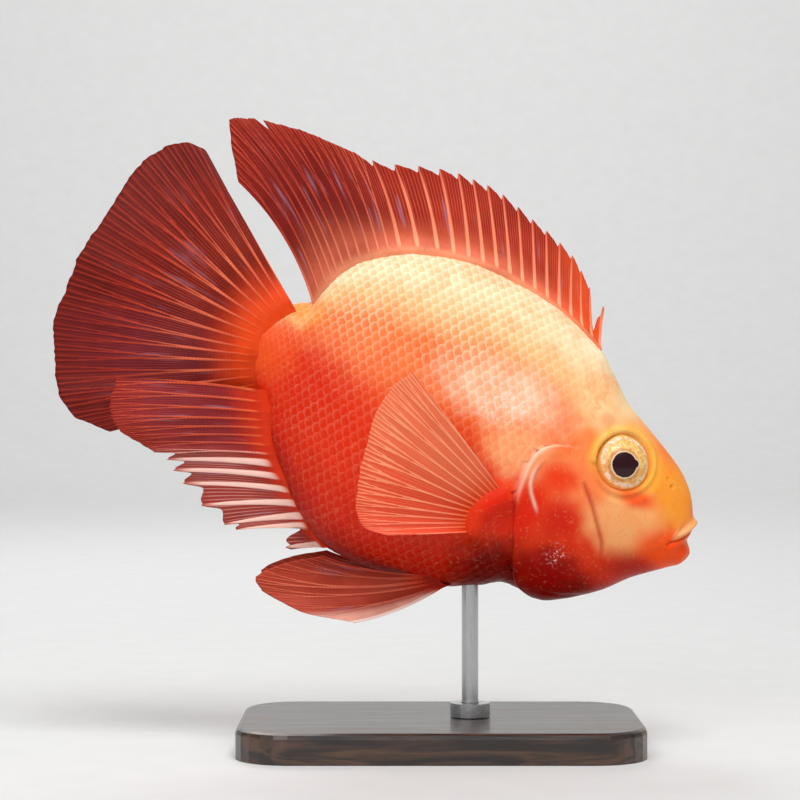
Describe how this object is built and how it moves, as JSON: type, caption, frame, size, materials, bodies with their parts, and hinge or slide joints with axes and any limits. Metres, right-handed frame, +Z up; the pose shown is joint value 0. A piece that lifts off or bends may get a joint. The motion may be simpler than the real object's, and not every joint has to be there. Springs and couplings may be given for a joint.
{
  "type": "blood parrot cichlid model on a display stand",
  "caption": "Still, life-size model of an orange-red blood parrot cichlid swimming nose-down with its fins spread, held over a dark wooden base by one steel rod.",
  "frame": {"origin": "Centre of the stand's underside, on the surface it rests on.", "axes": "+X towards the end the fish's snout points to, +Y the fish's left side, away from the side the picture shows, +Z up. The fish leans nose-down by 23 degrees."},
  "size_m": [0.1949, 0.075, 0.1893],
  "materials": {
    "skin": "wet, scaled fish skin, cream on the back, orange on the flank and red on the belly",
    "spiny_fin": "thin wet membrane over pale spines",
    "soft_fin": "thin wet membrane over fine branched rays",
    "eye": "clear glassy eye with a golden iris and a dark pupil",
    "dark_wood": "dark stained, satin varnish",
    "steel": "brushed"
  },
  "bodies": {
    "root": {"head": "skin", "lower_jaw": "skin", "gill_cover_left": "skin", "gill_cover_right": "skin", "trunk": "skin", "tail_stalk": "skin", "eye_left": "eye", "eye_right": "eye", "dorsal_fin": "spiny_fin", "anal_fin": "spiny_fin", "tail_fin": "soft_fin", "pectoral_fin_left": "soft_fin", "pectoral_fin_right": "soft_fin", "pelvic_fin_left": "spiny_fin", "pelvic_fin_right": "spiny_fin", "stand_base": "dark_wood", "stand_rod": "steel", "stand_collar": "steel"}
  },
  "joints": []
}
